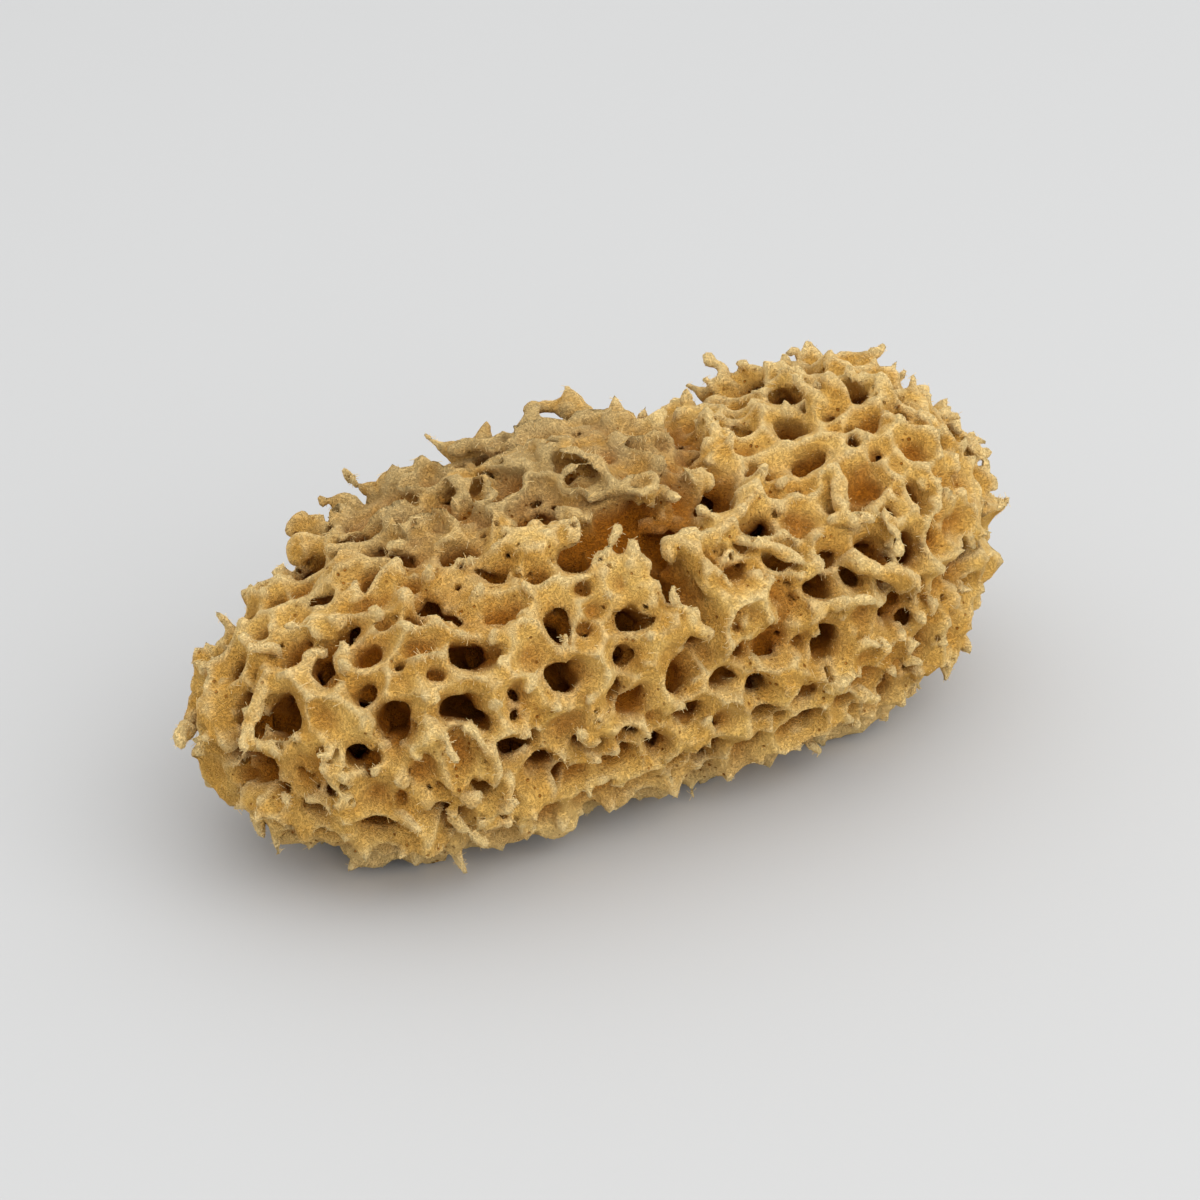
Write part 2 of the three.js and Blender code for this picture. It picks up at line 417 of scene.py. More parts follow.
def cut_all():
    """How far each cell is from the nearest canal, up to FAR."""
    distance = np.full(tuple(cells), FAR, np.float32)
    rng = np.random.default_rng(5)
    for (x, turn, radius, stretch, depth), mouth in zip(NAMED_CANALS, named_mouths):
        inward = -skin_normal(np.float32(x), turn)
        shallow = depth < 2
        end_radius = radius * (0.9 if shallow else 0.75)
        length = max(depth * radius - end_radius, 0.1)
        cut_canal(distance, mouth, askew(inward, rng, 0.08), radius, end_radius, length, stretch)
    normals = outward(fill_mouths)
    for mouth, normal, radius in zip(fill_mouths, normals, fill_radii):
        depth = radius * rng.choice(FILL_DEPTHS, p=FILL_DEPTH_SHARES)
        stretch = rng.uniform(0.75, 1.35)
        cut_canal(distance, mouth, askew(-normal, rng, 0.18), radius, radius * 0.65, depth, stretch)
    return distance


def cut_fold(distance, row):
    """Cuts a canal from each place of the row to the next."""
    row = np.array(row, float)
    centres = skin_point(row[:, 0], row[:, 1])
    normals = np.array([skin_normal(np.float32(x), turn) for x, turn in row[:, :2]])
    sunk = centres - normals * row[:, 3:4]
    for near, there, radius_near, radius_there in zip(sunk, sunk[1:], row[:, 2], row[1:, 2]):
        span = there - near
        length = float(np.linalg.norm(span))
        cut_canal(distance, near, unit(span), radius_near, radius_there, length, funnel=0.0)


# Rooms: from depth to depth under the skin, spacing and radius, all mm, and how many are tried
ROOM_LAYERS = [(-13, -8.5, 8.0, 3.1, 900), (-7, -4.5, 6.5, 1.7, 1500)]


def cut_chambers(distance):
    """Rooms under the skin that join the canals."""
    rng = np.random.default_rng(8)
    kept = []
    for inner, outer, spacing, radius, tries in ROOM_LAYERS:
        band = np.argwhere((skin > inner) & (skin < outer))
        picks = band[rng.integers(0, len(band), tries)] * PITCH + start
        for place in picks:
            if place[2] > 3 and all(np.linalg.norm(place - other) > spacing for other in kept):
                kept.append(place)
                lean = unit(rng.normal(0, 1, 3))
                size = radius * rng.uniform(0.8, 1.2)
                cut_canal(distance, place, lean, size, size * 0.8, rng.uniform(1, 4), funnel=0.0)
    return len(kept)


canal = cut_all()
cut_fold(canal, FOLD)
cut_fold(canal, FOLD_BRANCH)
rooms = cut_chambers(canal)
print(f"{rooms} rooms, canals cut at {clock()}")

# %% [markdown]
# ## Ridges and spikes
# Between two canals the skin dips into a saddle, and where three or more meet it stands up in a
# point. So the skin is raised by how far it is from the nearest canal. On the crust it is worked
# into low, winding folds instead.

# %% Raise the ridges
RIM_DEPTH = -2.8  # how deep the skin lies at the edge of a canal, mm
RIDGE_RISE = 4.6  # how much it rises where canals are WALL_REACH away
WALL_REACH = 2.4
CREST = 0.9  # where the ridges are cut off, mm over the smooth skin
FOLD_WIDTH = 0.42  # of the crust's folds, as a spread of the noise that winds them


def ridge_height():
    """How high the skin stands among the canals, mm."""
    far = np.clip(canal / WALL_REACH, 0, 1.5)
    strength = np.clip(1 + 0.3 * noise(5, 41), 0.4, 2)
    rough = 0.6 * noise(9, 42) + 0.3 * noise(2.6, 43)
    return np.minimum(RIM_DEPTH + RIDGE_RISE * far * strength, CREST) + rough


def fold_height():
    """How high the crust stands: a fold wherever a noise is near 0, over a floor with deeper pockets."""
    winding = noise(4.4, 51) + 0.3 * noise(1.8, 52)
    folds = np.exp(-((winding / FOLD_WIDTH) ** 2))
    pocket = smoothstep(noise(5, 54), 0.7, 1.3)
    return -2.6 - 3.0 * pocket + (3.4 + 2.4 * pocket) * folds + 0.5 * noise(8, 53)


def lump(x, turn, reach, spread, rise):
    """A local rise of the skin: reach along it in mm, spread round it in degrees."""
    return rise * np.exp(-(((X - x) / reach) ** 2) - ((turns - turn) / spread) ** 2)


# The skin's own rises and hollows: mm along, turn, reach mm, spread degrees, rise mm
SWELLINGS = [
    (20, -22, 9, 22, 4.0),
    (33, -5, 8, 18, 2.0),
    (49, -26, 8, 20, 3.6),
    (29, -54, 8, 16, -4.0),
    (68, 14, 9, 32, -4.5),
    (-15, -50, 12, 12, -2.0),
]
BEVEL = 0.18  # how round the edges of the canals are, mm

height = ridge_height() + sum(lump(*numbers) for numbers in SWELLINGS)
height += crust * (fold_height() - height)
sponge = skin - height.astype(np.float32)
sponge = -smooth_min(-sponge, canal, BEVEL)
print(f"ridges up to {height.max():.1f} mm over the loaf, {clock()}")

# %% [markdown]
# ## Strands and points
# Some walls end in fingers, knobs and flaps that stand clear of the skin, and a few bridge a hole.
# The ones that can be told apart are listed one by one, as tapered rods between two places. The
# other places where walls meet get a short leaning point by rule: the cells of the skin farthest
# from a canal, a few mm apart. Rods are melted into the field, so each grows out of its wall with a
# rounded root, which joining separate meshes couldn't do.

# %% Strands listed one by one
# from: mm along, turn, height over the skin, radius - to: the same four, all mm but the turn
STRANDS = [
    # left end
    (-66.5, 18, -0.5, 1.3, -71, 34, -0.5, 1.4), (-71, 34, -0.5, 1.4, -72, 62, -0.5, 1.4),
    (-72, 62, -0.5, 1.4, -66, 66, -0.5, 1.3),
    (-72, -95, -1, 2, -75, -80, 4, 1.7), (-65, -8, -1, 1.2, -66, -10, 3, 0.4),
    (-64, 6, -1, 1.2, -65, 4, 2.6, 0.4), (-57, 14, -2, 1.2, -60, 10, 2.2, 0.4),
    (-64, 82, -1, 1.4, -62, 93, 1.2, 1.2), (-50, 68, -1, 1.3, -48, 76, 2.2, 0.5),
    (-45, 72, -0.5, 1, -42.5, 81, 0.8, 1), (-42.5, 81, 0.8, 1, -42, 92, 0, 0.9),
    (-48, 104, -1, 1.2, -43, 112, 2.5, 0.6), (-42, 104, -1, 0.8, -39, 100, 2.5, 0.4),
    # along the back edge of the crust
    (-43, -50, -1, 1.6, -44, -56, 3, 1.6), (-52, -58, -1, 1.8, -54, -62, 2, 1.4),
    (-48, -44, -1, 2.2, -49, -48, 1, 1.8), (-31, -52, -1, 1.6, -30, -58, 3.8, 0.6),
    (-35, -52, -1, 1.4, -37, -58, 3, 0.5), (-14, -50, -1, 2.4, -16, -56, 4, 0.8),
    (-10, -50, -1, 2, -5, -54, 3.8, 0.5), (-3, -46, -1, 2, 1, -50, 2.6, 1.4),
    (1, -50, 2.6, 1.4, 8, -48, 2.4, 1.4), (8, -48, 2.4, 1.4, 9, -44, -1, 1.6),
    (6, -46, 1, 2, 9, -50, 5, 0.6), (13, -38, -2, 1.4, 14, -42, 2.6, 0.4),
    # round the fold
    (-11.5, 58, -1.5, 2.2, -11.5, 44, 0.4, 1.8), (-18, 32, -1.5, 1, -18, 26, 2.6, 0.5),
    (-15.5, 42, -2, 1.4, -13, 37, 1.6, 0.8), (-5, 46, -1.5, 1.2, 0, 41, -0.5, 1.2),
    (9, 36, -1, 1.4, 5, 28, 1.4, 1.1), (-7, 62, -1, 1.2, -8, 57, 2, 0.5),
    (-5, 64, -1, 1.2, -3, 59, 2, 0.5), (-8, 66, -0.5, 1.4, -4, 68, 0, 1.2),
    # taller lobe
    (4, 37, -0.6, 1, 9, 51, 0.2, 1.1), (9, 51, 0.2, 1.1, 18, 62, 0, 1.3),
    (-2, 45, -0.6, 1.1, 0.5, 56, 0, 1.1), (0.5, 56, 0, 1.1, 3, 68, 0, 1.2),
    (7, 60, -0.6, 1.8, 7, 57, 1.4, 0.6), (7, 63, -0.6, 1.8, 12, 62, 1.2, 0.6),
    (30, 37, 0, 1.2, 26, 49, 0.4, 1.3), (25, 52, 0.2, 1.4, 32, 55, 0.8, 1.2),
    (25, 64, -0.8, 1.4, 31, 71, 1.2, 2.1), (35, 54, 0, 1.1, 33, 64, 0.6, 1.2),
    (16, 73, -0.3, 1.4, 24, 75, 0.2, 1.2), (37, 8, -1, 2, 36, 4, 5, 0.8),
    (41, 10, -1, 2, 42, 5, 5.5, 0.8), (47, 16, -1, 1.4, 48, 12, 3, 0.6),
    (17, 6, -1.5, 2, 21, -4, 1.6, 1.2), (36, -44, -1, 1.2, 36, -50, 2.6, 0.5),
    (57, 10, -4, 1.5, 60, 18, 1.5, 1), (60, 18, 1.5, 1, 62, 32, -4, 1.4),
]
STRAND_SIZE = 0.85  # all strands are this much thinner than written above
ROOT = 1.2  # how far a strand's root spreads, mm
CROOKED = 1.2  # how much of the canals' warp bends a strand
KNOBBLY = 0.12  # how much its thickness changes along it
KNOBS = noise(2.2, 64)


def above_skin(x, turn, height):
    """The point that many mm straight out of the smooth skin."""
    return skin_point(x, turn) + skin_normal(np.float32(x), turn) * height


def melt_rod(field, start_at, end_at, radius_at_start, radius_at_end, root=ROOT):
    """Joins a tapered, slightly crooked rod to the field."""
    part, places = window(np.array([start_at, end_at]), 4.5)
    span = end_at - start_at
    length = np.linalg.norm(span)
    span /= length
    still = [read_field(push, start_at[None])[0] for push in WARP]
    rel = [places[k] + CROOKED * (WARP[k][part] - still[k]) - start_at[k] for k in range(3)]
    t = np.clip(sum(rel[k] * span[k] for k in range(3)), 0, length)
    radius = STRAND_SIZE * (radius_at_start + (radius_at_end - radius_at_start) * t / length)
    radius = radius * (1 + KNOBBLY * KNOBS[part])
    gap = np.sqrt(sum((rel[k] - t * span[k]) ** 2 for k in range(3))) - radius
    field[part] = smooth_min(field[part], gap, root)


for x0, turn0, height0, radius0, x1, turn1, height1, radius1 in STRANDS:
    melt_rod(sponge, above_skin(x0, turn0, height0), above_skin(x1, turn1, height1), radius0, radius1)
print(f"{len(STRANDS)} strands")

# %% Points where walls meet
POINT_SPACING = 3.6  # mm
POINT_RADIUS = 1.4  # at the root, mm
POINT_TIP = 0.1  # at the tip, mm
POINT_ROOT = 1.5  # how far under the skin a point starts, mm
POINT_HEIGHT = (0.2, 2.8)  # over the skin, mm; most are short
LOW_DOWN = 14  # under this height over the table, mm, ...
LOW_DOWN_LENGTH = 1.1  # ... they are this many times as long


def raise_points():
    """A leaning point on every place of the skin that is far from its canals."""
    rng = np.random.default_rng(23)
    shell = np.argwhere((np.abs(skin) < 0.6 * PITCH) & (canal > 0.7) & (Z > 1) & (crust < 0.6))
    shell = shell[np.argsort(-canal[tuple(shell.T)])]
    places = shell * PITCH + start
    normals = outward(places)
    free = np.ones(len(places), bool)
    count = 0
    for n, place in enumerate(places):
        if not free[n]:
            continue
        free &= ((places - place) ** 2).sum(1) > POINT_SPACING**2
        lean = unit(normals[n] + rng.normal(0, 0.35, 3))
        tall = LOW_DOWN_LENGTH if place[2] < LOW_DOWN else 1.0
        tall *= POINT_HEIGHT[0] + np.ptp(POINT_HEIGHT) * rng.random() ** 2
        foot = place - POINT_ROOT * lean
        melt_rod(sponge, foot, place + tall * lean, POINT_RADIUS, POINT_TIP, root=0.8)
        count += 1
    return count


print(f"{raise_points()} points, {clock()}")

# %% [markdown]
# ## Rough skin and small pores
# Torn fibre leaves every edge ragged, so two fine noises shift the surface by a quarter of a
# millimetre. Everything under the table is taken away, since the sponge rests on a flat underside.
# The walls also carry pores about a millimetre across. They are cut where a slower noise is high,
# which gathers them into clusters and leaves other walls plain.

# %% Roughen, trim and pierce
sponge += 0.24 * noise(1.7, 62) + 0.17 * noise(1.0, 63)
underside = np.clip(0.5 + 0.3 * noise(3, 61), 0, 2)
sponge = np.maximum(sponge, underside - Z)

SMALL_PORES = 500
SMALL_PORE_RADIUS = (0.4, 0.75)  # mm
SMALL_PORE_DEPTH = (1.2, 3.0)  # mm


def slope_at(field, cell):
    """Which way the field rises fastest at a cell."""
    i, j, k = np.clip(cell, 1, np.array(field.shape) - 2)
    return np.array([field[i + 1, j, k] - field[i - 1, j, k],
                     field[i, j + 1, k] - field[i, j - 1, k],
                     field[i, j, k + 1] - field[i, j, k - 1]])


def cut_small_pores():
    """Short straight pores into the walls, in clusters."""
    rng = np.random.default_rng(17)
    shell = np.argwhere((np.abs(sponge) < 0.7 * PITCH) & (noise(7, 71) > 0.3) & (skin > -5))
    for cell in shell[rng.integers(0, len(shell), SMALL_PORES)]:
        mouth = cell * PITCH + start
        inward = -unit(slope_at(sponge, cell) + 1e-6)
        radius = rng.uniform(*SMALL_PORE_RADIUS)
        length = rng.uniform(*SMALL_PORE_DEPTH)
        part, places = window(np.array([mouth, mouth + inward * length]), 2.0)
        rel = [places[n] - mouth[n] for n in range(3)]
        t = np.clip(sum(rel[n] * inward[n] for n in range(3)), 0, length)
        gap = np.sqrt(sum((rel[n] - t * inward[n]) ** 2 for n in range(3))) - radius
        sponge[part] = -smooth_min(-sponge[part], gap, 0.3)


cut_small_pores()
print(f"small pores at {clock()}")

# %% [markdown]
# ## From the block to a mesh
# OpenVDB, which comes with Blender, draws the surface through the zeros of the field. What the
# canals cut off inside would rattle about, so only the largest joined piece is kept. It still has
# far too many faces. A Decimate modifier thins it, and a vertex group tells it to take most of them
# from deep inside, where nobody looks closely.

# %% Draw the surface
def surface_of(field):
    """Points in mm and four-sided faces, turned outwards."""
    grid = openvdb.FloatGrid(FAR)
    grid.copyFromArray(field.astype(np.float32))
    points, _, faces = grid.convertToPolygons(0.0, 0.0)
    return points * PITCH + start, faces[:, ::-1]


def largest_piece(count, faces):
    """Which points belong to the piece with the most points."""
    label = np.arange(count)
    a = faces.ravel()
    b = np.roll(faces, 1, axis=1).ravel()
    while True:
        least = np.minimum(label[a], label[b])
        new = label.copy()
        np.minimum.at(new, a, least)
        np.minimum.at(new, b, least)
        new = new[new]
        if (new == label).all():
            return label == np.bincount(label).argmax()
        label = new


def mesh_from(name, points, faces):
    """A Blender mesh from points in mm and rows of point numbers, one row a face."""
    mesh = bpy.data.meshes.new(name)
    mesh.vertices.add(len(points))
    mesh.vertices.foreach_set("co", (points * MM).astype(np.float32).ravel())
    mesh.loops.add(faces.size)
    mesh.loops.foreach_set("vertex_index", faces.astype(np.int32).ravel())
    mesh.polygons.add(len(faces))
    mesh.polygons.foreach_set("loop_start", np.arange(0, faces.size, faces.shape[1], dtype=np.int32))
    mesh.update(calc_edges=True)
    mesh.validate()
    return mesh


def add_piece(name, mesh):
    piece = bpy.data.objects.new(name, mesh)
    bpy.context.scene.collection.objects.link(piece)
    return piece


points, faces = surface_of(sponge)
joined = largest_piece(len(points), faces)
faces = faces[joined[faces[:, 0]]]
renumbered = np.cumsum(joined) - 1
body = add_piece("sponge_skeleton", mesh_from("sponge_skeleton", points[joined], renumbered[faces]))
print(f"{len(faces)} faces, {joined.mean():.0%} of all points, {clock()}")

# %% Thin the mesh
TRIANGLES = 196_000
GROUP_STEPS = 10  # the vertex group is written in this many steps of weight
KEPT_DEPTH = 3.0  # down to here the mesh keeps the most faces, mm
THIN_DEPTH = 9.0  # from here on it keeps the fewest, mm


def mesh_points(mesh):
    """The places of a mesh's points, mm."""
    flat = np.empty(3 * len(mesh.vertices), np.float32)
    mesh.vertices.foreach_get("co", flat)
    return flat.reshape(-1, 3) / MM


def apply_modifiers(piece):
    """Turns the piece into a plain mesh that looks the same."""
    graph = bpy.context.evaluated_depsgraph_get()
    done = bpy.data.meshes.new_from_object(piece.evaluated_get(graph))
    piece.modifiers.clear()
    old = piece.data
    piece.data = done
    bpy.data.meshes.remove(old)


def thin_mesh(piece):
    """Decimates the piece to TRIANGLES, most of all deep inside."""
    depth = -read_field(skin, mesh_points(piece.data))
    weight = 0.1 + 0.9 * smoothstep(depth, KEPT_DEPTH, THIN_DEPTH)
    group = piece.vertex_groups.new(name="deep")
    for step in range(1, GROUP_STEPS + 1):
        members = np.flatnonzero(np.round(weight * GROUP_STEPS) == step)
        group.add(members.tolist(), step / GROUP_STEPS, "REPLACE")
    thin = piece.modifiers.new("thin", "DECIMATE")
    thin.ratio = min(1.0, TRIANGLES / (2 * len(piece.data.polygons)))
    thin.vertex_group = group.name
    thin.vertex_group_factor = 1.0
    thin.use_collapse_triangulate = True
    apply_modifiers(piece)
    piece.vertex_groups.clear()
    piece.data.validate()
    piece.data.shade_smooth()


thin_mesh(body)
print(f"thinned to {len(body.data.polygons)} triangles, {clock()}")

# %% [markdown]
# ## What the finish needs to know
# Colour follows the shape: thin edges have bleached to cream, the rooms inside are painted darker
# and browner as shade, and the crust is greyer. A material can't measure this, but the field can, so
# each point of the mesh gets its depth under the skin, its share of crust, and how much sponge there
# is close round it and in a wider room. Little sponge round a point means an edge, a lot means a
# hollow, where shade is painted.

# %% Write the attributes
CLOSE = 1.2  # how far round a point counts as close, mm
WIDE = 4.0  # and as its wider room, mm
CLEAR_OF_TABLE = 1.6  # under this height no loose fibres grow, mm


def solid_share(field, reach):
    """How much of the box within reach mm of each cell is sponge."""
    share = (field < 0).astype(np.float32)
    step = max(1, round(reach / PITCH))
    for k in range(3):
        margin = [(step, step) if j == k else (0, 0) for j in range(3)]
        total = np.pad(np.cumsum(share, axis=k), margin, "edge")
        after = np.take(total, np.arange(2 * step, 2 * step + share.shape[k]), axis=k)
        before = np.take(total, np.arange(share.shape[k]), axis=k)
        share = (after - before) / (2 * step)
    return share


def write_attributes(mesh):
    """Writes what the field knows on the mesh's points, and returns how thick the fuzz is there."""
    places = mesh_points(mesh)
    depth = -read_field(skin, places)
    closed = read_field(crust, places)
    close = read_field(solid_share(sponge, CLOSE), places)
    wide = read_field(solid_share(sponge, WIDE), places)
    edges = smoothstep(0.62 - close, 0.05, 0.3) * (1 - smoothstep(depth, 3, 6))
    clear = places[:, 2] > CLEAR_OF_TABLE
    fuzz = (edges + 0.25 * (depth < 4)) * clear * (1 - 0.65 * closed)
    named = {"depth": depth, "crust": closed, "close": close, "wide": wide, "fuzz": fuzz}
    for name, values in named.items():
        layer = mesh.attributes.new(name, "FLOAT", "POINT")
        layer.data.foreach_set("value", np.ascontiguousarray(values, np.float32))
        print(f"{name}: 5% {np.percentile(values, 5):.2f}, 95% {np.percentile(values, 95):.2f}")
    return fuzz


fuzz = write_attributes(body.data)

# %% [markdown]
# ## Shader maths
# A material is a tree of nodes, and a sum in it is a node for every sign. Written out one by one
# they bury the idea. So one small class holds a socket and turns Python's own signs into nodes.

# %% A socket that can be counted with
class Shade:
    """A socket in a node tree. Sums written with it add Math nodes to the tree."""

    def __init__(self, tree, socket=None):
        self.tree = tree
        self.socket = socket

    def node(self, kind, settings=None, values=None, out=0):
        """Any node: its settings first, then a value or a link for each input."""
        node = self.tree.nodes.new(kind)
        for name, value in (settings or {}).items():
            setattr(node, name, value)
        for name, value in (values or {}).items():
            if isinstance(value, Shade):
                self.tree.links.new(value.socket, node.inputs[name])
            else:
                node.inputs[name].default_value = value
        return Shade(self.tree, node.outputs[out])

    def other(self, name):
        """Another output of the same node."""
        return Shade(self.tree, self.socket.node.outputs[name])

    def maths(self, operation, *operands):
        return self.node("ShaderNodeMath", {"operation": operation}, dict(enumerate(operands)))

    def __add__(self, other):
        return self.maths("ADD", self, other)

    def __sub__(self, other):
        return self.maths("SUBTRACT", self, other)

    def __rsub__(self, other):
        return self.maths("SUBTRACT", other, self)

    def __mul__(self, other):
        return self.maths("MULTIPLY", self, other)

    __radd__ = __add__
    __rmul__ = __mul__

    def ridge(self):
        """1 where noise crosses its middle, falling to 0 away from it."""
        return 1 - self.maths("ABSOLUTE", 2 * self - 1)

    def between(self, low, high):
        """0 below low, 1 above high, smooth between."""
        values = {"Value": self, "From Min": low, "From Max": high}
        return self.node("ShaderNodeMapRange", {"interpolation_type": "SMOOTHSTEP"}, values)

    def mix(self, low_colour, high_colour):
        """Blends two colours by this number."""
        settings = {"data_type": "RGBA", "clamp_factor": True}
        return self.node("ShaderNodeMix", settings, {0: self, 6: low_colour, 7: high_colour}, out=2)

    def attribute(self, name):
        return self.node("ShaderNodeAttribute", {"attribute_name": name}, out="Fac")

    def stretched(self, scale):
        return self.node("ShaderNodeVectorMath", {"operation": "MULTIPLY"}, {0: self, 1: scale})

    def noise(self, scale, detail):
        return self.node("ShaderNodeTexNoise", None, {"Vector": self, "Scale": scale, "Detail": detail})

    def cells(self, scale):
        values = {"Vector": self, "Scale": scale}
        return self.node("ShaderNodeTexVoronoi", {"feature": "F1"}, values, out="Distance")


def colour(red, green, blue):
    """An everyday colour, three numbers from 0 to 255, as the linear numbers Blender wants."""
    return (*(((c / 255 + 0.055) / 1.055) ** 2.4 for c in (red, green, blue)), 1.0)


print("shader maths ready")

# %% [markdown]
# ## The felt
# The sponge is a felt of horny fibres, each a few hundredths of a millimetre thick. The eye sees
# them as a fine grain, so they aren't modelled: three noises, each drawn out along another axis,
# give bright threads that cross, in the colour and in the bump. The attributes pick the colours and
# the painted shade of hollows. Small dark dots, in clusters, stand for the pores that are too small
# for the mesh: they are dents in the bump, and their dark is painted shade.

# %% The felt's colours and threads
def new_material(name):
    """A fresh material, with its shader and a Shade to start sums from."""
    material = bpy.data.materials.new(name)
    material.use_nodes = True
    return material, material.node_tree.nodes["Principled BSDF"], Shade(material.node_tree)


CREAM = colour(248, 222, 162)
GOLD = colour(236, 190, 102)
OCHRE = colour(212, 160, 74)
# painted shade: hollows, deep rooms and the smallest pores are mixed towards these two warm browns
SHADE_UMBER = colour(162, 93, 0)
DEEP_SHADE = colour(158, 90, 6)
GREY_TAN = colour(174, 146, 100)
BLACK = (0, 0, 0, 1)
WHITE = (1, 1, 1, 1)
FIBRE_SCALE = 2500  # threads to the metre, nearly
FIBRE_STRETCH = [(1, 1, 0.25), (1, 0.25, 1), (0.25, 1, 1)]


def threads(tree, place):
    """Bright threads that cross: the highest of three noises, each drawn out along its own axis."""
    sheets = [place.stretched(s).noise(FIBRE_SCALE, 1).ridge() for s in FIBRE_STRETCH]
    highest = tree.maths("MAXIMUM", tree.maths("MAXIMUM", sheets[0], sheets[1]), sheets[2])
    return highest.between(0.75, 1.0)


def base_colour(tree, place, patches, edge):
    """The colour under the threads by where on the sponge it is, shade painted in: later lines cover
    earlier ones.
    """
    depth, crust, wide = (tree.attribute(name) for name in ("depth", "crust", "wide"))
    height = tree.node("ShaderNodeSeparateXYZ", None, {0: place}, out=2)
    low_down = (1 - height * 60).between(0.0, 0.9)  # gone 17 mm up
    sunk = (depth + 4 * (patches - 0.5)).between(0.5, 7.0)
    base = patches.between(0.35, 0.65).mix(OCHRE, GOLD)
    base = (crust * patches.between(0.2, 0.6) * 0.7).mix(base, GREY_TAN)
    base = (edge * (0.68 - 0.45 * crust)).mix(base, CREAM)
    base = (low_down * 0.45).mix(base, CREAM)
    # painted shade: a point with much sponge round it lies in a hollow and is mixed towards brown
    base = (wide.between(0.42, 0.72) * 0.55).mix(base, SHADE_UMBER)
    # painted shade: the deeper under the skin, the browner, and the noisy patches shift where it starts
    base = (sunk * 0.92).mix(base, SHADE_UMBER)
    # painted shade: from 5 to 13 mm down it darkens further
    return (depth.between(5.0, 13.0) * 0.7).mix(base, DEEP_SHADE)


def dots(place, patches, edge):
    """1 in the smallest pores, which come in clusters and never on an edge: they are dented and their
    shade is painted.
    """
    clusters = place.noise(140, 1).between(0.5, 0.57)
    return (1 - (place.cells(660) + 0.25 * patches).between(0.22, 0.36)) * clusters * (1 - edge)


def felt_material():
    material, shader, tree = new_material("felted_fibre")
    place = tree.node("ShaderNodeTexCoord", out="Object")
    patches = place.noise(160, 2)
    edge = (1 - tree.attribute("close") + 0.25 * (patches - 0.5)).between(0.45, 0.8)
    felt = threads(tree, place)
    pores = dots(place, patches, edge)
    base = base_colour(tree, place, patches, edge)
    # painted shade in the smallest pores, too small for the mesh to hollow out
    base = (pores * 0.85).mix(base, SHADE_UMBER)
    # the threads lighten the grain, and the pores darken it as painted shade
    shade = 0.65 * felt + 0.92 - 0.15 * pores
    tint = tree.node("ShaderNodeMix", {"data_type": "RGBA", "blend_type": "MULTIPLY"},
                     {0: 1.0, 6: base, 7: shade.mix(BLACK, WHITE)}, out=2)
    height = 0.6 * felt - 1.2 * pores + 0.6 * place.noise(900, 2)
    bump = tree.node("ShaderNodeBump", None, {"Strength": 1.0, "Distance": 0.5 * MM, "Height": height})
    material.node_tree.links.new(tint.socket, shader.inputs["Base Color"])
    material.node_tree.links.new(bump.socket, shader.inputs["Normal"])
    shader.inputs["Roughness"].default_value = 0.95
    shader.inputs["Specular IOR Level"].default_value = 0.15
    return material


body.data.materials.clear()
body.data.materials.append(felt_material())
print("felt on", body.name)

# %% [markdown]
# ## Loose fibres
# On the ridges single fibres stand off the felt and make its outline soft. They are many, alike and
# follow the surface, which is what Geometry Nodes are for: points are strewn over the faces,
# thickest where the attribute fuzz is high, and each gets a leaning sliver with three sides, with
# a shade of its own in its map. They are grown in five stretches, so no mesh gets too large.

# %% The finish of a loose fibre
def fuzz_material():
    """Reads the fibres' own map: across it a shade for each fibre, up it the way along the fibre."""
    material, shader, tree = new_material("loose_fibre")
    own = tree.node("ShaderNodeUVMap", {"uv_map": "OFBake"})
    across = tree.node("ShaderNodeSeparateXYZ", None, {0: own}, out=0)
    along = tree.node("ShaderNodeSeparateXYZ", None, {0: own}, out=1)
    blend = (0.7 * across + 0.5 * along).between(0.0, 0.9).mix(GOLD, CREAM)
    material.node_tree.links.new(blend.socket, shader.inputs["Base Color"])
    shader.inputs["Roughness"].default_value = 0.9
    shader.inputs["Specular IOR Level"].default_value = 0.15
    return material


fibre_finish = fuzz_material()
print("finish", fibre_finish.name)

# %% The tree that grows them
FUZZ_PIECES = 5
FIBRES_A_PIECE = 19_500


def new_growth(name, inputs):
    """A Geometry Nodes tree with named inputs, as a Shade to start from and the inputs by name."""
    tree = bpy.data.node_groups.new(name, "GeometryNodeTree")
    tree.interface.new_socket("Geometry", in_out="INPUT", socket_type="NodeSocketGeometry")
    for label, value in inputs.items():
        kind = "NodeSocketInt" if isinstance(value, int) else "NodeSocketFloat"
        tree.interface.new_socket(label, in_out="INPUT", socket_type=kind).default_value = value
    tree.interface.new_socket("Geometry", in_out="OUTPUT", socket_type="NodeSocketGeometry")
    given = tree.nodes.new("NodeGroupInput").outputs
    return Shade(tree), {label: Shade(tree, given[label]) for label in ("Geometry", *inputs)}


def read(tree, name):
    return tree.node("GeometryNodeInputNamedAttribute", {"data_type": "FLOAT"}, {"Name": name})


def store(tree, geometry, name, value, domain, kind="FLOAT"):
    settings = {"data_type": kind, "domain": domain}
    values = {"Geometry": geometry, "Name": name, "Value": value}
    return tree.node("GeometryNodeStoreNamedAttribute", settings, values)


def random(tree, low, high, seed):
    values = {2: low, 3: high, "Seed": seed}
    return tree.node("FunctionNodeRandomValue", {"data_type": "FLOAT"}, values, out=1)


def fibre_spots(tree, given):
    """Points on the faces between From and To, thickest where the attribute fuzz is high."""
    x = tree.node("ShaderNodeSeparateXYZ", None, {0: tree.node("GeometryNodeInputPosition")})
    right_of = tree.maths("GREATER_THAN", x, given["From"])
    left_of = tree.maths("LESS_THAN", x, given["To"])
    density = right_of * left_of * read(tree, "fuzz") * given["Density"]
    values = {"Mesh": given["Geometry"], "Density": density, "Seed": given["Seed"]}
    return tree.node("GeometryNodeDistributePointsOnFaces", {"distribute_method": "RANDOM"}, values)


